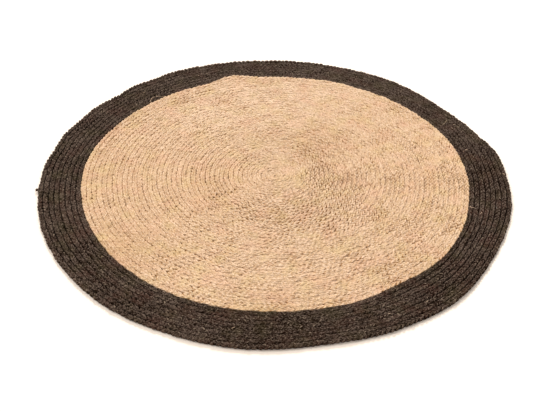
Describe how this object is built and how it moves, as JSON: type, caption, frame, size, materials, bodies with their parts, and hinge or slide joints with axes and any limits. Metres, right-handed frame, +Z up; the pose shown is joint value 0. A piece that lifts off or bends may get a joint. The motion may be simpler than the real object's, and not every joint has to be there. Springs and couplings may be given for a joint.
{
  "type": "round plaited jute rug",
  "caption": "Flat round rug coiled from plaited jute, natural in the middle with a wide dark border.",
  "frame": {"origin": "on the floor under the middle of the rug", "axes": "+Z up through the rug's thickness, -Y towards the viewer of the picture"},
  "size_m": [1.5027, 1.4964, 0.0115],
  "materials": {
    "natural_jute": "undyed jute plait, matt, hairy and slightly mottled",
    "dark_jute": "jute plait dyed dark brown, matt, with paler worn strands"
  },
  "bodies": {
    "root": {"natural_coil": "natural_jute", "border_coil": "dark_jute"}
  },
  "joints": []
}
